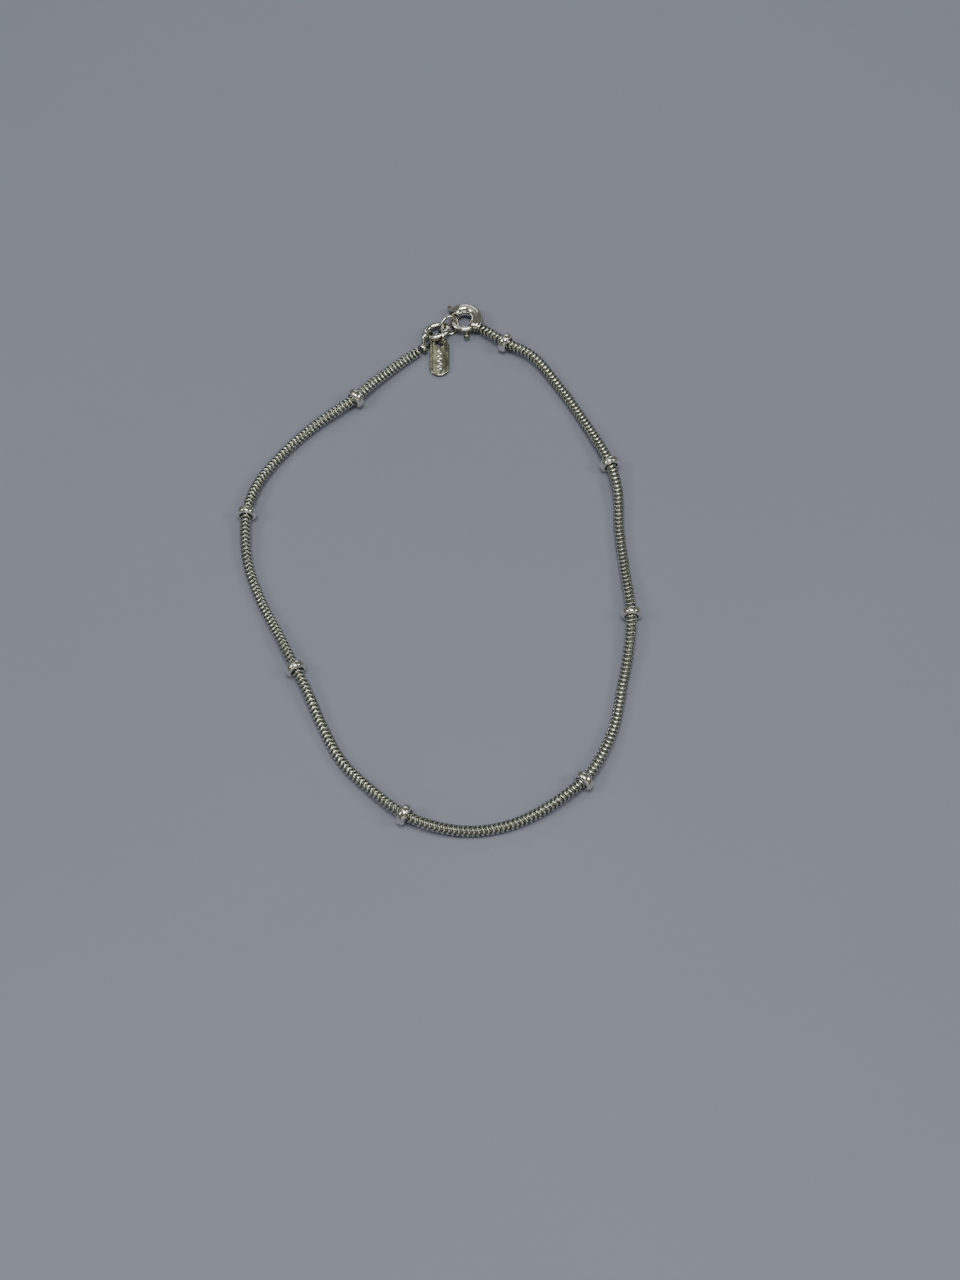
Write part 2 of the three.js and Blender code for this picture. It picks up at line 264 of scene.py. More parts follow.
def centre_line():
    """Points along the chain's axis, which rises from the table to each bead's centre."""
    plan = [Vector((x, y, 0)) for x, y, bead in ROUTE]
    beads = [Vector((x, y, 0)) for x, y, bead in ROUTE if bead]
    line = []
    count = ROUTE_SAMPLES * (len(plan) - 1)
    for i in range(count + 1):
        point = station(plan, i / count)
        run = min(min((point - bead).length for bead in beads) / RISE_RUN, 1)
        lift = (1 + math.cos(math.pi * run)) / 2
        point.z = CHAIN_RADIUS + (BEAD_RADIUS - CHAIN_RADIUS) * lift
        line.append(point)
    return line


def upright(point, tangent):
    """The matrix that puts a piece's Z on the tangent, with its Y pointing up."""
    side = UP.cross(tangent).normalized()
    up = tangent.cross(side)
    turn = Matrix((side, up, tangent)).transposed()
    return Matrix.Translation(point) @ turn.to_4x4()


def evenly_along(line, pitch):
    """Matrices a pitch apart along the line, the first half a pitch from its start."""
    places = []
    walked = 0.0
    due = pitch / 2
    for a, b in zip(line, line[1:]):
        step = (b - a).length
        while due <= walked + step:
            places.append(upright(a.lerp(b, (due - walked) / step), (b - a) / step))
            due += pitch
        walked += step
    return places


# ---- Materials ----


def shader_group(name, inputs, outputs):
    """A node group with its sockets, and its input and output nodes."""
    group = bpy.data.node_groups.new(name, "ShaderNodeTree")
    for socket, kind, value in inputs:
        made = group.interface.new_socket(socket, in_out="INPUT", socket_type=kind)
        made.default_value = value
    for socket, kind in outputs:
        group.interface.new_socket(socket, in_out="OUTPUT", socket_type=kind)
    return group, group.nodes.new("NodeGroupInput"), group.nodes.new("NodeGroupOutput")


def worked(tree, operation, first, second):
    """A Math node, whose two values are sockets or plain numbers."""
    node = tree.nodes.new("ShaderNodeMath")
    node.operation = operation
    for socket, value in zip(node.inputs, (first, second)):
        if isinstance(value, (int, float)):
            socket.default_value = value
        else:
            tree.links.new(value, socket)
    return node.outputs["Value"]


def spread_out(tree, value, low, high):
    """Eases a value from 0 at low to 1 at high."""
    node = tree.nodes.new("ShaderNodeMapRange")
    node.interpolation_type = "SMOOTHSTEP"
    node.inputs["From Min"].default_value = low
    node.inputs["From Max"].default_value = high
    tree.links.new(value, node.inputs["Value"])
    return node.outputs["Result"]


def blended(tree, kind, share, first, second):
    """Mixes two colours, or two numbers, by a share from 0 to 1."""
    node = tree.nodes.new("ShaderNodeMix")
    node.data_type = kind
    sockets = [socket for socket in node.inputs if socket.enabled]
    for socket, value in zip(sockets, (share, first, second)):
        tree.links.new(value, socket)
    return next(socket for socket in node.outputs if socket.enabled)


def noise(tree, vector, scale, detail):
    """Smooth noise over a vector, as a number from 0 to 1."""
    node = tree.nodes.new("ShaderNodeTexNoise")
    node.inputs["Scale"].default_value = scale
    node.inputs["Detail"].default_value = detail
    tree.links.new(vector, node.inputs["Vector"])
    return node.outputs["Fac"]


def silver_wear_and_shade_group():
    """Worn silver: clouds of tarnish, painted shade where a piece's painted shade attribute is
    high, and fine hairlines.

    Facet flattens each scale of a link in its middle and rolls its edges over.
    """
    group, given, result = shader_group(
        "handled silver and painted shade",
        [
            ("Bright", "NodeSocketColor", (0.9, 0.88, 0.83, 1)),
            ("Tarnish And Shade", "NodeSocketColor", (0.5, 0.45, 0.33, 1)),
            ("Tarnish Amount", "NodeSocketFloat", 0.4),
            ("Painted Shade", "NodeSocketFloat", 0.0),
            ("Smooth", "NodeSocketFloat", 0.12),
            ("Rough", "NodeSocketFloat", 0.3),
            ("Across", "NodeSocketFloat", 0.0),
            ("Facet", "NodeSocketFloat", 0.0),
            ("Hammering", "NodeSocketFloat", 0.0),
        ],
        [
            ("Color", "NodeSocketColor"),
            ("Roughness", "NodeSocketFloat"),
            ("Height", "NodeSocketFloat"),
        ],
    )
    place = group.nodes.new("ShaderNodeTexCoord").outputs["Object"]
    clouds = spread_out(group, noise(group, place, CLOUD_SCALE, detail=4), *CLOUD_SPREAD)
    patches = worked(group, "MULTIPLY", clouds, given.outputs["Tarnish Amount"])
    # Painted shade: the colour goes towards the dark colour where the Painted Shade input is high.
    shade_mask = spread_out(group, given.outputs["Painted Shade"], *SHADE_SPREAD)
    tarnish_and_shade_mask = worked(group, "MAXIMUM", patches, shade_mask)
    color = blended(group, "RGBA", tarnish_and_shade_mask, given.outputs["Bright"], given.outputs["Tarnish And Shade"])
    roughness = blended(group, "FLOAT", tarnish_and_shade_mask, given.outputs["Smooth"], given.outputs["Rough"])
    stretch = group.nodes.new("ShaderNodeMapping")
    stretch.inputs["Scale"].default_value = HAIRLINE_STRETCH
    stretch.inputs["Rotation"].default_value = HAIRLINE_TURNS
    group.links.new(place, stretch.inputs["Vector"])
    hairlines = noise(group, stretch.outputs["Vector"], HAIRLINE_SCALE, detail=3)
    squared = worked(group, "POWER", given.outputs["Across"], 2)
    flat = worked(group, "MULTIPLY", squared, FACET_FLATNESS)
    rolled = worked(group, "POWER", given.outputs["Across"], FACET_ROLL)
    scale = worked(group, "SUBTRACT", flat, rolled)
    facet = worked(group, "MULTIPLY", scale, given.outputs["Facet"])
    hammered = worked(group, "MULTIPLY", clouds, given.outputs["Hammering"])
    height = worked(group, "ADD", hairlines, worked(group, "ADD", facet, hammered))
    group.links.new(color, result.inputs["Color"])
    group.links.new(roughness, result.inputs["Roughness"])
    group.links.new(height, result.inputs["Height"])
    return group


def silver(
    name, wear_and_shade, bright, tarnish_and_shade, amount, smooth, rough, dents=0.25, facet=0, hammering=0
):
    """Handled silver. Painted shade darkens it where a piece's painted shade attribute is high."""
    material = bpy.data.materials.new(name)
    material.use_nodes = True
    nodes = material.node_tree.nodes
    link = material.node_tree.links.new
    metal = nodes["Principled BSDF"]
    metal.inputs["Metallic"].default_value = 1
    finish = nodes.new("ShaderNodeGroup")
    finish.node_tree = wear_and_shade
    finish.inputs["Bright"].default_value = (*bright, 1)
    finish.inputs["Tarnish And Shade"].default_value = (*tarnish_and_shade, 1)
    finish.inputs["Tarnish Amount"].default_value = amount
    finish.inputs["Smooth"].default_value = smooth
    finish.inputs["Rough"].default_value = rough
    finish.inputs["Facet"].default_value = facet
    finish.inputs["Hammering"].default_value = hammering
    for socket, attribute in (("Painted Shade", SHADE_ATTRIBUTE), ("Across", ACROSS)):
        found = nodes.new("ShaderNodeAttribute")
        found.attribute_name = attribute
        link(found.outputs["Fac"], finish.inputs[socket])
    bump = nodes.new("ShaderNodeBump")
    bump.inputs["Strength"].default_value = dents
    bump.inputs["Distance"].default_value = HAIRLINE_DEPTH
    link(finish.outputs["Height"], bump.inputs["Height"])
    link(finish.outputs["Color"], metal.inputs["Base Color"])
    link(finish.outputs["Roughness"], metal.inputs["Roughness"])
    link(bump.outputs["Normal"], metal.inputs["Normal"])
    return material


def table_finish():
    """A pale matt laminate with faint clouding."""
    material = bpy.data.materials.new("pale laminate")
    material.use_nodes = True
    tree = material.node_tree
    surface = tree.nodes["Principled BSDF"]
    place = tree.nodes.new("ShaderNodeTexCoord").outputs["Object"]
    shades = tree.nodes.new("ShaderNodeValToRGB")
    shades.color_ramp.elements[0].color = (*TABLE_DEEP, 1)
    shades.color_ramp.elements[1].color = (*TABLE_PALE, 1)
    tree.links.new(noise(tree, place, TABLE_CLOUD_SCALE, detail=3), shades.inputs["Fac"])
    tree.links.new(shades.outputs["Color"], surface.inputs["Base Color"])
    surface.inputs["Roughness"].default_value = TABLE_ROUGHNESS
    return material


# ---- Mesh helpers ----


def outline(points):
    """One flat face in the XZ plane, from (x, z) pairs."""
    bm = bmesh.new()
    corners = [bm.verts.new((x, 0, z)) for x, z in points]
    bm.faces.new(corners)
    return bm


def round_corners(bm, corners, offset, segments):
    """Rounds corners of a flat outline."""
    bmesh.ops.bevel(
        bm, geom=corners, offset=offset, segments=segments, profile=0.5,
        affect="VERTICES", material=-1,
    )


def spin_outline(bm, steps, angle=360, start=0):
    """Turns the outline about Z. A full turn closes on itself, and a part turn has flat ends."""
    full = angle == 360
    first = Matrix.Rotation(math.radians(start), 3, "Z")
    bmesh.ops.rotate(bm, verts=bm.verts, cent=(0, 0, 0), matrix=first)
    if full:
        bmesh.ops.delete(bm, geom=bm.faces[:], context="FACES_ONLY")
    bmesh.ops.spin(
        bm, geom=bm.verts[:] + bm.edges[:], cent=(0, 0, 0), axis=UP, dvec=(0, 0, 0),
        angle=math.radians(angle), steps=steps, use_merge=full,
    )
    if not full:
        close_holes(bm)
    return bm


def close_holes(bm):
    """Caps each open rim with one face."""
    rims = [edge for edge in bm.edges if edge.is_boundary]
    bmesh.ops.holes_fill(bm, edges=rims, sides=0)


def only_verts(geom):
    """The vertices among an operator's results."""
    return [item for item in geom if isinstance(item, bmesh.types.BMVert)]


def wire_section(radius, wire, sides):
    """The round section of a wire ring, in the XZ plane."""
    bm = bmesh.new()
    place = Matrix.Translation((radius, 0, 0)) @ Matrix.Rotation(math.pi / 2, 4, "X")
    bmesh.ops.create_circle(bm, cap_ends=True, segments=sides, radius=wire, matrix=place)
    return bm


def paint_shade(bm, shaded):
    """Marks the places that get painted shade."""
    layer = bm.verts.layers.float.get(SHADE_ATTRIBUTE) or bm.verts.layers.float.new(SHADE_ATTRIBUTE)
    for vert in bm.verts:
        vert[layer] = 1.0 if shaded(vert.co) else 0.0


def shade_underneath(bm):
    """Paints shade on the sides that face down or sideways."""
    layer = bm.verts.layers.float.get(SHADE_ATTRIBUTE) or bm.verts.layers.float.new(SHADE_ATTRIBUTE)
    bmesh.ops.recalc_face_normals(bm, faces=bm.faces)
    bm.normal_update()
    for vert in bm.verts:
        vert[layer] = max(vert[layer], min(max((UNSHADED_TILT - vert.normal.z) / SHADE_BLEND, 0), 1))


def move(bm, matrix):
    """Places a whole bmesh by a matrix."""
    bmesh.ops.transform(bm, matrix=matrix, verts=bm.verts)
    return bm


def join(whole, part):
    """Adds part to whole and frees it."""
    mesh = bpy.data.meshes.new("part")
    part.to_mesh(mesh)
    part.free()
    whole.from_mesh(mesh)
    bpy.data.meshes.remove(mesh)
    return whole


def turned(centre, turns):
    """A centre, and turns in degrees about the piece's own X, then Y, then Z."""
    matrix = Matrix.Translation(centre)
    for angle, axis in zip(turns, "XYZ"):
        matrix = matrix @ Matrix.Rotation(math.radians(angle), 4, axis)
    return matrix


def middle(node):
    """The middle of a CAD node's box."""
    low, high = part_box(node)
    return (low + high) / 2


def piece(name, bm, material, body, replaces=(), sharp=None):
    """A finished piece on its body. Folds of more than sharp degrees stay crisp."""
    bmesh.ops.remove_doubles(bm, verts=bm.verts, dist=MERGE)
    bmesh.ops.recalc_face_normals(bm, faces=bm.faces)
    mesh = bpy.data.meshes.new(name)
    bm.to_mesh(mesh)
    bm.free()
    mesh.shade_smooth()
    if sharp:
        mesh.set_sharp_from_angle(angle=math.radians(sharp))
    mesh.materials.append(material)
    made = bpy.data.objects.new(name, mesh)
    bpy.context.scene.collection.objects.link(made)
    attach(made, body)
    if replaces:
        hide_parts(*replaces)


# ---- Chain ----


def wavy_link(bm, painted_shade, across):
    """One link: a band bent into a closed wave, with a raised scale at each crest and trough."""
    crown = CHAIN_RADIUS
    section = [
        (crown - LINK_INSIDE_DEPTH, 0), (crown - LINK_EDGE_DEPTH, -LINK_HALF_WIDTH),
        (crown, 0), (crown - LINK_EDGE_DEPTH, LINK_HALF_WIDTH),
    ]
    corners = [bm.verts.new((x, 0, z)) for x, z in section]
    edges = [bm.edges.new((a, b)) for a, b in zip(corners, corners[1:] + corners[:1])]
    bmesh.ops.spin(
        bm, geom=corners + edges, cent=(0, 0, 0), axis=UP, dvec=(0, 0, 0), angle=2 * math.pi,
        steps=LINK_STEPS, use_merge=True,
    )
    least_crown = crown - LINK_EDGE_DEPTH / 2
    least_edge = crown - (LINK_EDGE_DEPTH + LINK_INSIDE_DEPTH) / 2
    for vert in bm.verts:
        bearing = math.atan2(vert.co.y, vert.co.x)
        valley = (1 - math.cos(2 * LINK_LOBES * bearing)) / 2
        reach = vert.co.xy.length
        vert[across] = valley
        # Painted shade: the scale valleys, the link's edges and its inside are darkened.
        if reach > least_crown:
            vert[painted_shade] = SCALE_VALLEY_SHADE * valley
            vert.co.xy *= 1 - SCALE_VALLEY_DEPTH * valley / reach
        else:
            vert[painted_shade] = LINK_EDGE_SHADE if reach > least_edge else 1
        vert.co.z += LINK_WAVE * math.cos(LINK_LOBES * bearing)


def twist(number):
    """A link's turn in degrees, eased from each row of TWIST to the next."""
    for (before, turn), (after, next_turn) in zip(TWIST, TWIST[1:]):
        if number < after:
            share = (number - before) / (after - before)
            return turn + (next_turn - turn) * share * share * (3 - 2 * share)
    return TWIST[-1][1]


def chain_links(places, material):
    """The link repeated along the chain, turned by the chain's twist."""
    bm = bmesh.new()
    layers = bm.verts.layers.float
    layers.new(SHADE_ATTRIBUTE)
    layers.new(ACROSS)
    wavy_link(bm, layers[SHADE_ATTRIBUTE], layers[ACROSS])
    template = bm.verts[:] + bm.edges[:] + bm.faces[:]
    for number, place in enumerate(places):
        verts = only_verts(bmesh.ops.duplicate(bm, geom=template)["geom"])
        turn = Matrix.Rotation(math.radians(twist(number)), 4, "Z")
        bmesh.ops.transform(bm, matrix=place @ turn, verts=verts)
    bmesh.ops.delete(bm, geom=only_verts(template))
    piece("chain_links", bm, material, "bracelet", ["snake_chain"])


def chain_core(places, material):
    """The inside of the chain, which shows between the links, as a dark tube of painted shade."""
    bm = bmesh.new()
    sections = places[:-1:CORE_STRIDE] + places[-1:]
    made = bmesh.ops.create_circle(
        bm, cap_ends=True, segments=CORE_SIDES, radius=CORE_RADIUS, matrix=sections[0]
    )
    ring = made["verts"]
    for before, after in zip(sections, sections[1:]):
        edges = [edge for edge in bm.edges if edge.verts[0] in ring and edge.verts[1] in ring]
        ring = only_verts(bmesh.ops.extrude_edge_only(bm, edges=edges)["geom"])
        bmesh.ops.transform(bm, matrix=after @ before.inverted(), verts=ring)
    close_holes(bm)
    piece("chain_core", bm, material, "bracelet")


# ---- Bead rings ----


def bead_ring(number, place, material):
    """A plain ring with a well rounded rim, with painted shade in its bore."""
    half = BEAD_WIDTH / 2
    bm = outline([
        (BEAD_BORE_RADIUS, -half), (BEAD_RADIUS, -half),
        (BEAD_RADIUS, half), (BEAD_BORE_RADIUS, half),
    ])
    rim = [vert for vert in bm.verts if vert.co.x > (BEAD_RADIUS + BEAD_BORE_RADIUS) / 2]
    round_corners(bm, rim, BEAD_EDGE, segments=6)
    bore = [vert for vert in bm.verts if vert.co.x < BEAD_BORE_RADIUS + NEAR]
    round_corners(bm, bore, BEAD_BORE_EDGE, segments=3)
    spin_outline(bm, steps=56)
    # Painted shade in the bore.
    paint_shade(bm, lambda point: point.xy.length < BEAD_BORE_RADIUS + BEAD_BORE_SHADE)
    move(bm, place)
    name = f"bead_ring_{number}"
    piece(name, bm, material, "bracelet", [f"bead_{number}"])


def bead_rings(line, material):
    """Each bead ring in its place, square to the chain that runs through it."""
    for number in [bead for *_, bead in ROUTE if bead]:
        centre = middle(f"bead_{number}")
        nearest = min(range(1, len(line) - 1), key=lambda i: (line[i] - centre).length)
        along = line[nearest + 1] - line[nearest - 1]
        along.z = 0
        bead_ring(number, upright(centre, along.normalized()), material)


# ---- Clasp ----


def clasp_place():
    """The clasp's own frame: its centre, with its axis along Z."""
    hinge = frame["joints"][0]
    turn = UP.rotation_difference(-Vector(hinge["axis"]))
    return Matrix.Translation(hinge["pos_m"]) @ turn.to_matrix().to_4x4()


def ring_point(bearing):
    """The middle of the clasp's tube at a bearing in degrees."""
    angle = math.radians(bearing)
    return Vector((RING_RADIUS * math.cos(angle), RING_RADIUS * math.sin(angle), 0))


def slotted_section(steps=22):
    """The clasp tube's wall where the slot runs, as an outline open towards the outside."""
    opening = math.asin(SLOT_WIDTH / 2 / TUBE_RADIUS)
    wall = 2 * math.pi - 2 * opening
    angles = [opening + wall * i / steps for i in range(steps + 1)]
    points = []
    for radius, way in ((TUBE_RADIUS, angles), (TUBE_RADIUS - TUBE_WALL, reversed(angles))):
        points += [(RING_RADIUS + radius * math.cos(a), radius * math.sin(a)) for a in way]
    return outline(points)


def clasp_ring(place, material):
    """The spring ring's tube, with its neck, rolled rim, collar and ball soldered on."""
    tube = wire_section(RING_RADIUS, TUBE_RADIUS, sides=30)
    bm = spin_outline(tube, steps=44, angle=SLOT_END - TUBE_START, start=TUBE_START)
    narrow_shoulder(bm)
    slotted = slotted_section()
    join(bm, spin_outline(slotted, steps=22, angle=MOUTH - SLOT_END, start=SLOT_END))
    # Painted shade on the wall of the tube's bore.
    paint_shade(bm, in_tube_bore)
    neck = wire_section(RING_RADIUS, NECK_RADIUS, sides=20)
    neck_start = TUBE_START + SHOULDER / 2
    join(bm, spin_outline(neck, steps=18, angle=neck_start - NECK_END, start=NECK_END))
    join(bm, mouth_lip())
    join(bm, collar())
    join(bm, ball_on_post())
    move(bm, place)
    shade_underneath(bm)
    ease_inside_shade(bm, place)
    piece("clasp_tube", bm, material, "bracelet", ["clasp_ring"], sharp=50)


def ease_inside_shade(bm, place):
    """Eases the painted shade on the inside of the clasp's ring, leaving it lighter there."""
    layer = bm.verts.layers.float[SHADE_ATTRIBUTE]
    back = place.inverted()
    for vert in bm.verts:
        if (back @ vert.co).xy.length < RING_RADIUS - SHADE_EASED_DEPTH:
            vert[layer] *= INSIDE_SHADE_SHARE


def in_tube_bore(point):
    """Whether a point of the clasp's tube is on the wall of its bore."""
    across = Vector((point.xy.length - RING_RADIUS, point.z)).length
    return across < TUBE_RADIUS - TUBE_WALL / 2


def narrow_shoulder(bm):
    """Rounds the tube's closed end down to the neck."""
    slimmest = NECK_RADIUS / TUBE_RADIUS
    for vert in bm.verts:
        bearing = math.degrees(math.atan2(vert.co.y, vert.co.x))
        left = 1 - min((bearing - TUBE_START) / SHOULDER, 1)
        share = slimmest + (1 - slimmest) * math.sqrt(max(1 - left * left, 0))
        centre = ring_point(bearing)
        vert.co = centre + (vert.co - centre) * share


def mouth_lip():
    """The rolled rim round the tube's open end."""
    lip = spin_outline(wire_section(TUBE_RADIUS - LIP_WIRE, LIP_WIRE, sides=16), steps=40)
    upended = Matrix.Rotation(math.radians(90), 4, "X")
    bearing = Matrix.Rotation(math.radians(MOUTH - LIP_SETBACK), 4, "Z")
    return move(lip, bearing @ Matrix.Translation((RING_RADIUS, 0, 0)) @ upended)


def lathe(points, steps=32):
    """A solid turned about Z, from (radius, height) corners that start and end on the axis."""
    bm = bmesh.new()
    corners = [bm.verts.new((x, 0, z)) for x, z in points]
    edges = [bm.edges.new((a, b)) for a, b in zip(corners, corners[1:])]
    bmesh.ops.spin(
        bm, geom=corners + edges, cent=(0, 0, 0), axis=UP, dvec=(0, 0, 0), angle=2 * math.pi,
        steps=steps, use_merge=True,
    )
    bmesh.ops.remove_doubles(bm, verts=bm.verts, dist=MERGE)
    return bm


def outward(bearing, reach, dip):
    """Points a turned piece's Z along a bearing of the clasp, dipping, with its foot at reach."""
    turn = Matrix.Rotation(math.radians(bearing), 4, "Z")
    tip = Matrix.Rotation(math.radians(90 + dip), 4, "Y")
    return turn @ Matrix.Translation((reach, 0, 0)) @ tip


def collar():
    """The cup on the clasp that the chain's end is soldered into, with a rolled lip."""
    length = COLLAR_REACH - RING_RADIUS
    waist = CHAIN_RADIUS - COLLAR_WAIST_DEPTH
    bm = lathe([
        (0, 0), (waist, 0), (waist, length - 3 * COLLAR_LIP),
        (CHAIN_RADIUS, length - 2 * COLLAR_LIP), (CHAIN_RADIUS, length - COLLAR_LIP / 2),
        (CHAIN_RADIUS - COLLAR_LIP / 2, length), (0, length),
    ])
    return move(bm, outward(COLLAR_BEARING, RING_RADIUS, COLLAR_DIP))


def ball_on_post():
    """A small ball on a post with a flared foot."""
    length = BALL_REACH - RING_RADIUS
    bm = bmesh.new()
    bmesh.ops.create_uvsphere(bm, u_segments=24, v_segments=16, radius=BALL_RADIUS)
    move(bm, Matrix.Translation((0, 0, length)))
    # Painted shade over the whole ball, which dims its highlight.
    paint_shade(bm, lambda point: True)
    root = NECK_RADIUS / 2
    post = [
        (0, root), (POST_FOOT_RADIUS, root), (POST_RADIUS, root + POST_FOOT_HEIGHT),
        (POST_RADIUS, length), (0, length),
    ]
    join(bm, lathe(post, steps=20))
    return move(bm, outward(BALL_BEARING, RING_RADIUS, POST_SLOPE))


def clasp_bolt(place, material):
    """The bolt that slides in the tube, and the thumb tab that draws it back."""
    section = wire_section(RING_RADIUS, BOLT_RADIUS, sides=20)
    bm = spin_outline(section, steps=40, angle=BOLT_TIP - BOLT_TAIL, start=BOLT_TAIL)
    join(bm, thumb_tab())
    move(bm, place)
    shade_underneath(bm)
    piece("clasp_bolt_and_tab", bm, material, "bolt", ["clasp_bolt"], sharp=50)


def thumb_tab():
    """A flat tab with a rounded tip and softened rims, its foot in the bolt."""
    half = TAB_WIDTH / 2
    root = TAB_ROOT_WIDTH / 2
    bm = bmesh.new()
    corners = [(TAB_ROOT, -root), (TAB_REACH, -half), (TAB_REACH, half), (TAB_ROOT, root)]
    plate = bm.faces.new([bm.verts.new((x, y, -TAB_THICKNESS / 2)) for x, y in corners])
    tip = [vert for vert in plate.verts if vert.co.x > TAB_REACH - half]
    round_corners(bm, tip, half * TAB_TIP_ROUNDING, segments=6)
    raised = only_verts(bmesh.ops.extrude_face_region(bm, geom=bm.faces[:])["geom"])
    bmesh.ops.translate(bm, vec=(0, 0, TAB_THICKNESS), verts=raised)
    fold = math.radians(TAB_RIM_ANGLE)
    rims = [edge for edge in bm.edges if edge.calc_face_angle(0) > fold]
    bmesh.ops.bevel(
        bm, geom=rims, offset=TAB_EDGE, segments=2, profile=0.5, affect="EDGES", material=-1
    )
    # Painted shade over the whole tab, which dims its reflection.
    paint_shade(bm, lambda point: True)
    return move(bm, Matrix.Rotation(math.radians(TAB_BEARING), 4, "Z"))


# ---- Rings and end cap ----


def wire_ring(name, node, radius, wire, turns, material, seam):
    """A jump ring bent from round wire, its two ends meeting in a fine seam."""
    gap = math.degrees(RING_SEAM / radius)
    section = wire_section(radius, wire, sides=18)
    bm = spin_outline(section, steps=60, angle=360 - gap, start=seam)
    move(bm, turned(middle(node), turns))
    shade_underneath(bm)
    piece(name, bm, material, "bracelet", [node], sharp=60)


def oval_ring(material):
    """A ring spun round, then pulled out along X to an oval with nearly straight sides."""
    bm = spin_outline(wire_section(OVAL_BOW, OVAL_WIRE, sides=24), steps=74)
    for vert in bm.verts:
        share = vert.co.x / vert.co.xy.length
        vert.co.x += math.copysign(OVAL_PULL * abs(share) ** OVAL_SQUARENESS, share)
    move(bm, turned(middle("oval_ring"), OVAL_TURNS))
    shade_underneath(bm)
    piece("oval_wire_ring", bm, material, "bracelet", ["oval_ring"])


def end_cap(line, material):
    """The cup on the chain's free end, with the wire loop soldered to it."""
    cup = [(0, 0), (CHAIN_RADIUS - CAP_LIP, 0), (CHAIN_RADIUS, CAP_LIP)]
    cup += [(CHAIN_RADIUS * wide, CAP_LENGTH * high) for wide, high in CAP_PROFILE]
    bm = lathe(cup)
    along = (line[-1] - line[-2]).normalized()
    move(bm, upright(line[-1] + along * END_GAP, along))
    loop = spin_outline(wire_section(CAP_LOOP_RADIUS, CAP_LOOP_WIRE, sides=18), steps=52)
    join(bm, move(loop, turned(CAP_LOOP_CENTRE, CAP_LOOP_TURNS)))
    shade_underneath(bm)
    piece("end_cap_and_loop", bm, material, "bracelet", ["end_cap"], sharp=50)


# ---- Tag ----


def tag_plate(place, material):
    """A long plate with a hole, a rounded rim and a softly domed field inside it.

    It is spun round the hole as a disc, and then one side of it is pulled out.
    """
    top = TAG_THICKNESS / 2
    bow = TAG_WIDTH / 2
    field = top - TAG_RECESS
    inner = bow - TAG_RIM - TAG_RECESS_SLOPE
    corners = [(TAG_HOLE_RADIUS, -top)]
    for side, bearings in TAG_EDGE_ARCS:
        for bearing in bearings:
            out = TAG_EDGE * (math.cos(math.radians(bearing)) - 1)
            up = TAG_EDGE * math.sin(math.radians(bearing))
            corners.append((bow + out, side * (top - TAG_EDGE) + up))
    corners += [(bow - TAG_RIM, top), (inner, field)]
    bands = 6
    for i in range(1, bands + 1):
        corners.append((inner + (TAG_HOLE_RADIUS - inner) * i / bands, field))
    bm = spin_outline(outline(corners), steps=74)
    reach = TAG_LENGTH - TAG_WIDTH
    for vert in bm.verts:
        share = min(max((vert.co.xy.length - TAG_HOLE_RADIUS) / (inner - TAG_HOLE_RADIUS), 0), 1)
        vert.co.x += share * (bow - TAG_HOLE_INSET + (reach if vert.co.x > 0 else 0))
        if vert.co.z > 0 and share < 1:
            vert.co.z += TAG_DOME * (1 - (vert.co.y / inner) ** 2)
    # Painted shade along the field's sides next to the rim.
    shade_edge = inner * TAG_SHADE_BAND
    paint_shade(bm, lambda point: abs(point.z - field) < NEAR and abs(point.y) > shade_edge)
    move(bm, place)
    shade_underneath(bm)
    piece("tag_plate", bm, material, "bracelet", ["tag"], sharp=35)


def tag_relief(place, material):
    """A raised zigzag line down the tag's middle, of short slanting grains."""
    field = TAG_THICKNESS / 2 - TAG_RECESS
    bm = bmesh.new()
    size = Matrix.Diagonal((*GRAIN_SIZE, 1))
    for number in range(GRAIN_COUNT):
        side = 1 if number % 2 else -1
        slant = Matrix.Rotation(math.radians(side * GRAIN_SLANT), 4, "Z")
        centre = Vector((GRAIN_START + number * GRAIN_PITCH, side * GRAIN_SWAY, field + TAG_DOME))
        bmesh.ops.create_icosphere(
            bm, subdivisions=2, radius=0.5, matrix=Matrix.Translation(centre) @ slant @ size
        )
    move(bm, place)
    piece("tag_relief", bm, material, "bracelet")


# ---- Room ----


def camera():
    """The camera, looking down at the bracelet from its front."""
    data = bpy.data.cameras.new("camera")
    data.lens = LENS
    data.sensor_width = SENSOR
    data.clip_start = 0.01
    seen = bpy.data.objects.new("camera", data)
    tilt = math.radians(90 - CAMERA_ELEVATION)
    back = Vector((0, -math.sin(tilt), math.cos(tilt)))
    seen.location = CAMERA_TARGET + back * CAMERA_DISTANCE
    seen.rotation_euler = (tilt, 0, 0)
    bpy.context.scene.collection.objects.link(seen)
    bpy.context.scene.camera = seen


def softbox(name, place, width, height, power, color):
    """A soft rectangular lamp that faces the bracelet."""
    data = bpy.data.lights.new(name, "AREA")
    data.shape = "RECTANGLE"
    data.size = width
    data.size_y = height
    data.energy = power
    data.color = color
    lamp = bpy.data.objects.new(name, data)
    lamp.location = place
    lamp.rotation_mode = "QUATERNION"
    lamp.rotation_quaternion = (-Vector(place)).to_track_quat("-Z", "Y")
    bpy.context.scene.collection.objects.link(lamp)


def table_top():
    """The plain table that the bracelet lies on."""
    bm = bmesh.new()
    bmesh.ops.create_grid(bm, x_segments=1, y_segments=1, size=TABLE_HALF_SIDE)
    mesh = bpy.data.meshes.new("table_top")
    bm.to_mesh(mesh)
    bm.free()
    mesh.materials.append(table_finish())
    table = bpy.data.objects.new("table_top", mesh)
    bpy.context.scene.collection.objects.link(table)


def studio():
    """The dim room and its soft lamps."""
    world = bpy.data.worlds.new("studio")
    bpy.context.scene.world = world
    world.use_nodes = True
    sky = world.node_tree.nodes["Background"]
    sky.inputs["Color"].default_value = (*ROOM_COLOR, 1)
    sky.inputs["Strength"].default_value = ROOM_STRENGTH
    for lamp in SOFTBOXES:
        softbox(*lamp)


# ---- The bracelet ----

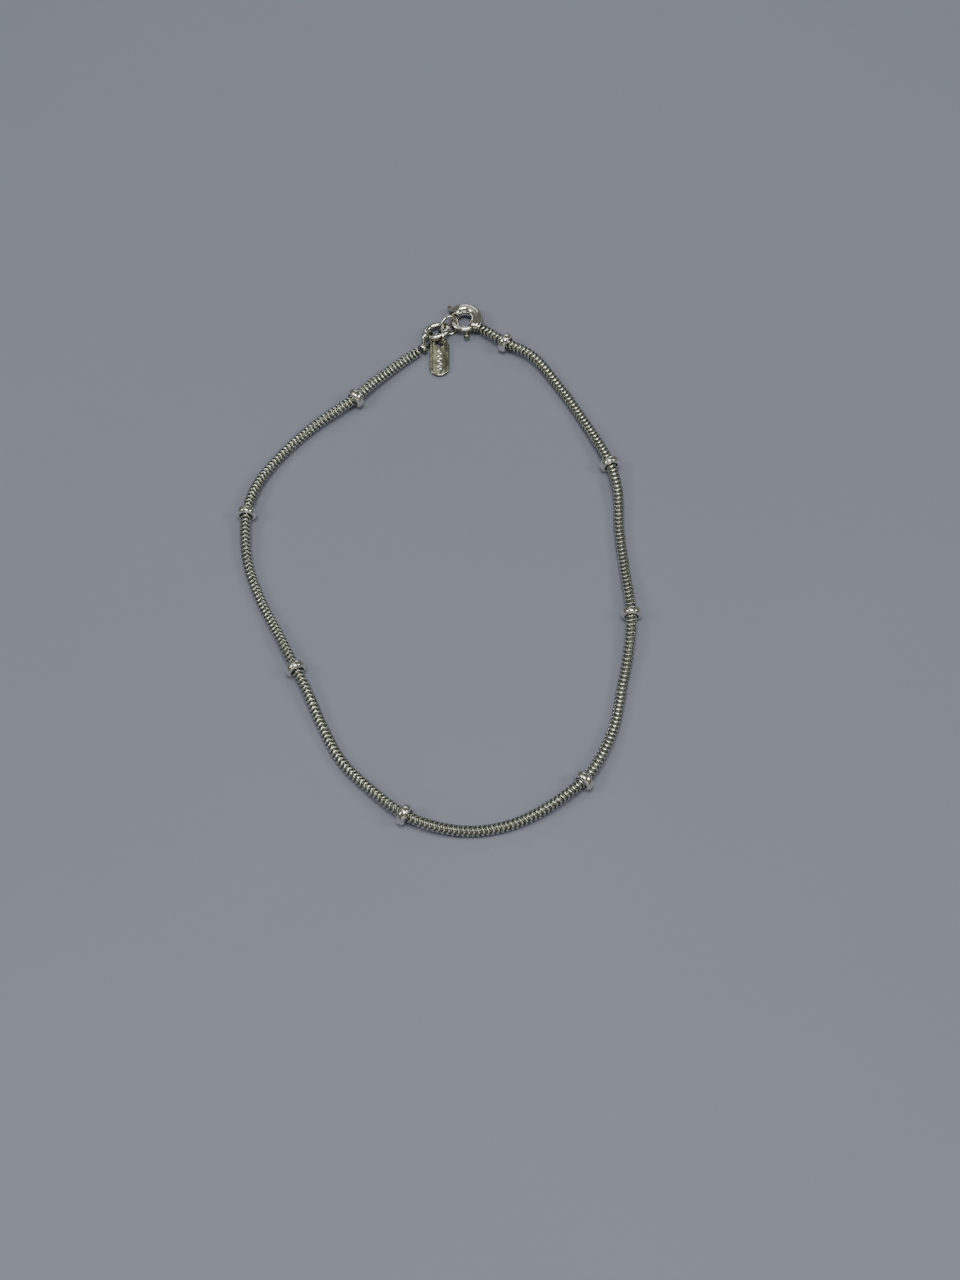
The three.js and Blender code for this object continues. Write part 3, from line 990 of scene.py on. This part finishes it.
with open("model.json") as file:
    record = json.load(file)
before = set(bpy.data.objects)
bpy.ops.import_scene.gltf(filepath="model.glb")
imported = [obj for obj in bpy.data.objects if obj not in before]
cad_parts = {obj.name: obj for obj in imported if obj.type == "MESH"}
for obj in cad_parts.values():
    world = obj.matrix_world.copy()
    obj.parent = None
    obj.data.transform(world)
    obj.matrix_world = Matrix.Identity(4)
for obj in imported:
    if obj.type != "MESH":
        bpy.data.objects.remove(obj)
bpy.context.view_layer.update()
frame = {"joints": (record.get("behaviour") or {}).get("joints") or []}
camera()

wear_and_shade = silver_wear_and_shade_group()
bright_silver = silver(
    "polished silver", wear_and_shade, bright=(0.92, 0.9, 0.84), tarnish_and_shade=(0.31, 0.31, 0.25),
    amount=0.25, smooth=0.1, rough=0.26,
)
link_silver = silver(
    "chain link silver", wear_and_shade, bright=(0.95, 0.96, 0.92), tarnish_and_shade=(0.44, 0.46, 0.39),
    amount=0.25, smooth=0.17, rough=0.32, facet=16,
)
# A dark colour for the core, as painted shade between the links.
shaded_core_silver = silver(
    "dark core in painted shade", wear_and_shade, bright=(0.5, 0.5, 0.42), tarnish_and_shade=(0.32, 0.32, 0.25),
    amount=0.5, smooth=0.4, rough=0.6,
)
tag_silver = silver(
    "tag silver", wear_and_shade, bright=(0.66, 0.66, 0.56), tarnish_and_shade=(0.24, 0.25, 0.18),
    amount=0.8, smooth=0.1, rough=0.24, dents=0.6, hammering=7,
)
bolt_silver = silver(
    "bolt silver", wear_and_shade, bright=(0.88, 0.85, 0.78), tarnish_and_shade=(0.32, 0.27, 0.24),
    amount=0.5, smooth=0.14, rough=0.34, dents=0.4,
)

line = centre_line()
places = evenly_along(line, LINK_PITCH)
chain_links(places, link_silver)
chain_core(places, shaded_core_silver)
bead_rings(line, bright_silver)
clasp = clasp_place()
clasp_ring(clasp, bright_silver)
clasp_bolt(clasp, bolt_silver)
oval_ring(bright_silver)
wire_ring(
    "link_wire_ring", "link_ring", LINK_RING_RADIUS, LINK_RING_WIRE, LINK_RING_TURNS,
    bright_silver, LINK_RING_SEAM,
)
wire_ring(
    "tag_wire_ring", "tag_ring", TAG_RING_RADIUS, TAG_RING_WIRE, TAG_RING_TURNS,
    bright_silver, TAG_RING_SEAM,
)
end_cap(line, bright_silver)
tag_place = turned(TAG_HOLE_CENTRE, TAG_TURNS)
tag_plate(tag_place, tag_silver)
tag_relief(tag_place, bright_silver)
table_top()
studio()
